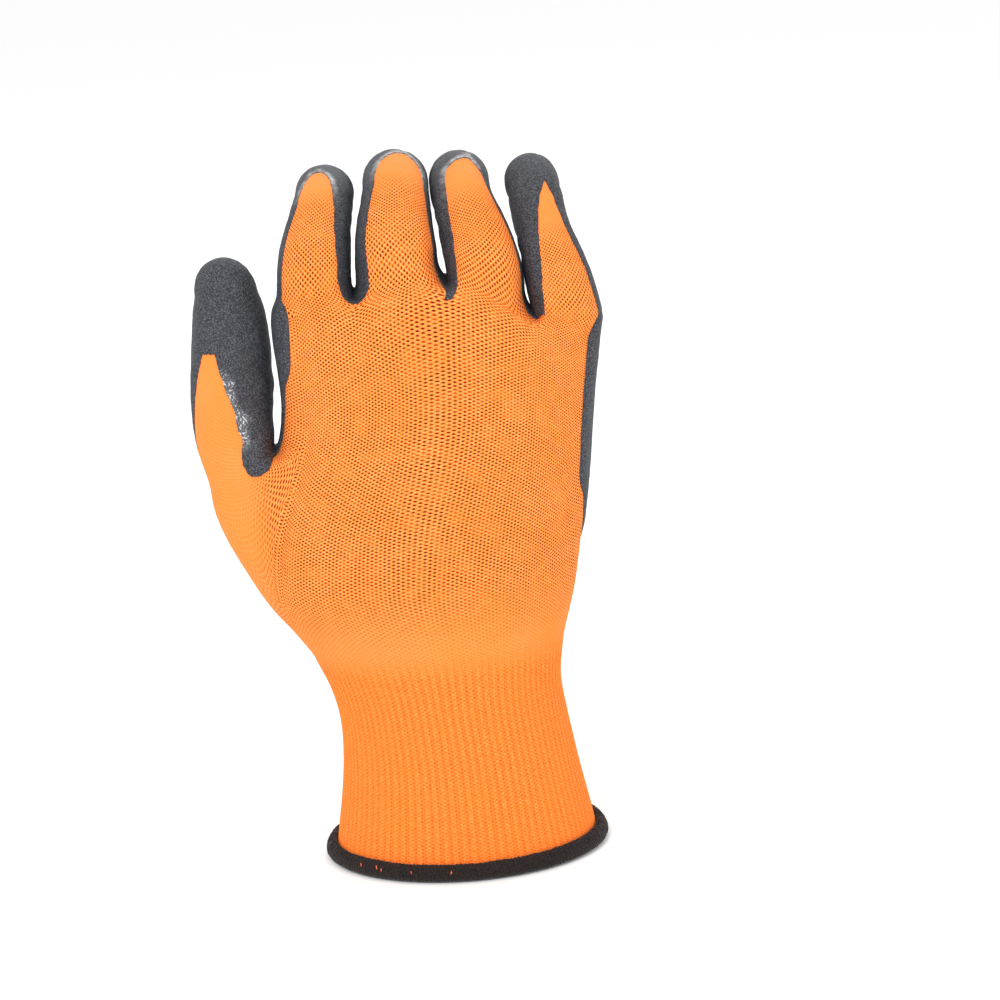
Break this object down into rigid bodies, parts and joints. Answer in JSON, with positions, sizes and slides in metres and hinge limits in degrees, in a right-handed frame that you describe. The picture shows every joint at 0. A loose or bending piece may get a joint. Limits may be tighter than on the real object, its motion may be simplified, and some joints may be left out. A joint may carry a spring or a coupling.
{
  "type": "latex coated grip glove",
  "caption": "Right-hand knitted work glove with a crinkled latex coating on the palm and fingertips, a ribbed cuff and an overlocked hem, held open in a relaxed curl.",
  "frame": {"origin": "middle of the wrist opening, at the hem's lower edge", "axes": "+Z from the wrist opening to the fingertips, -Y out of the back of the hand, +Y out of the palm, -X to the thumb's side"},
  "size_m": [0.1352, 0.0944, 0.2288],
  "materials": {
    "orange_knit": "knitted",
    "black_latex": "matt crinkled",
    "black_overlock": "overlocked thread"
  },
  "bodies": {
    "root": {"knit_liner": "orange_knit", "latex_coating": "black_latex", "cuff_hem": "black_overlock"}
  },
  "joints": []
}
